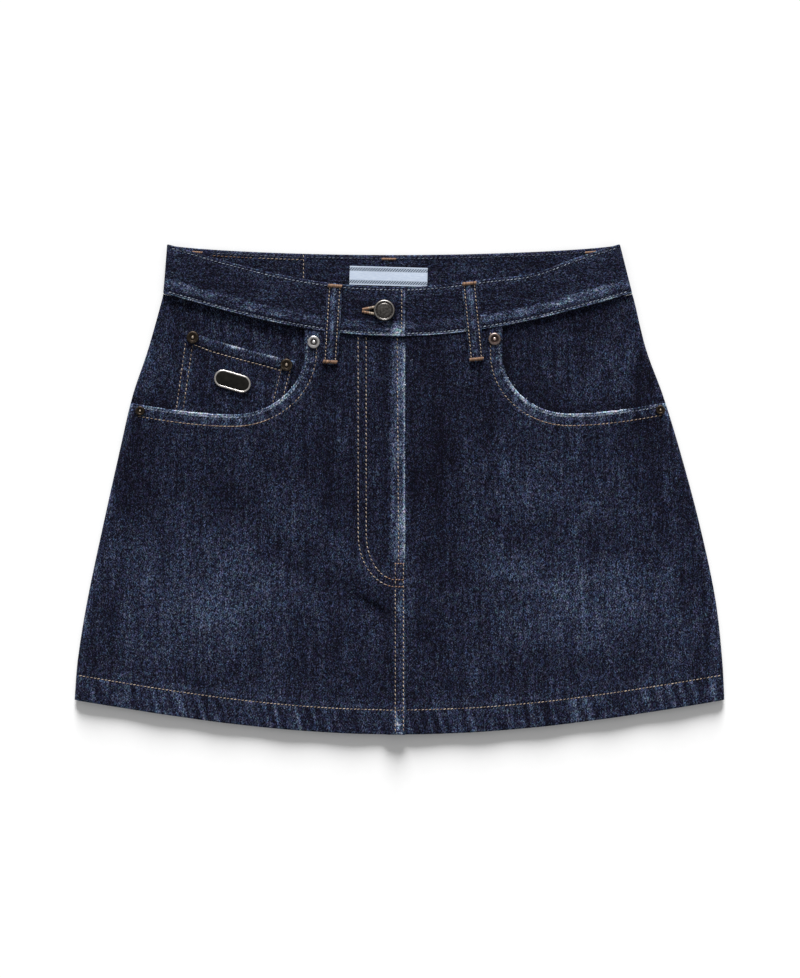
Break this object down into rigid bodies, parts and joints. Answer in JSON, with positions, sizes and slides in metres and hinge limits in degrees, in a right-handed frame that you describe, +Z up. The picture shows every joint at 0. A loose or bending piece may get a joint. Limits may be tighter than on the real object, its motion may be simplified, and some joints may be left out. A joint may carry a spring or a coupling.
{
  "type": "denim skirt",
  "caption": "Dark denim mini skirt laid flat face up, five-pocket front with a coin pocket, shank button, rivets, belt loops and a bowed hem.",
  "frame": {"origin": "on the surface it lies on, under the middle of the garment's bounding box", "axes": "+X to the right of someone looking down at the front, +Y from hem to waist, +Z up out of the front"},
  "size_m": [0.5208, 0.3924, 0.015],
  "materials": {
    "denim": "dark indigo twill, washed, with fades",
    "worn_denim": "indigo twill, worn paler along the middle",
    "label_satin": "woven satin ribbon with a plain border",
    "black_enamel": "glossy enamel with a bare metal rim",
    "pewter": "dull, darkened in the recesses",
    "bright_steel": "satin",
    "bronze": "dull and darkened"
  },
  "bodies": {
    "root": {"back_panel": "denim", "front_panel_left": "denim", "front_panel_right": "denim", "pocket_facing_left": "denim", "pocket_facing_right": "denim", "coin_pocket": "denim", "waistband": "denim", "belt_loop_front_left": "worn_denim", "belt_loop_front_right": "worn_denim", "belt_loop_back_left": "worn_denim", "belt_loop_back_centre": "worn_denim", "belt_loop_back_right": "worn_denim", "label": "label_satin", "badge": "black_enamel", "button": "pewter", "rivet_pocket_left_mouth": "bright_steel", "rivet_pocket_left_side": "bronze", "rivet_coin_pocket_left": "bronze", "rivet_coin_pocket_right": "bronze", "rivet_pocket_right_mouth": "bronze", "rivet_pocket_right_side": "bronze"}
  },
  "joints": []
}
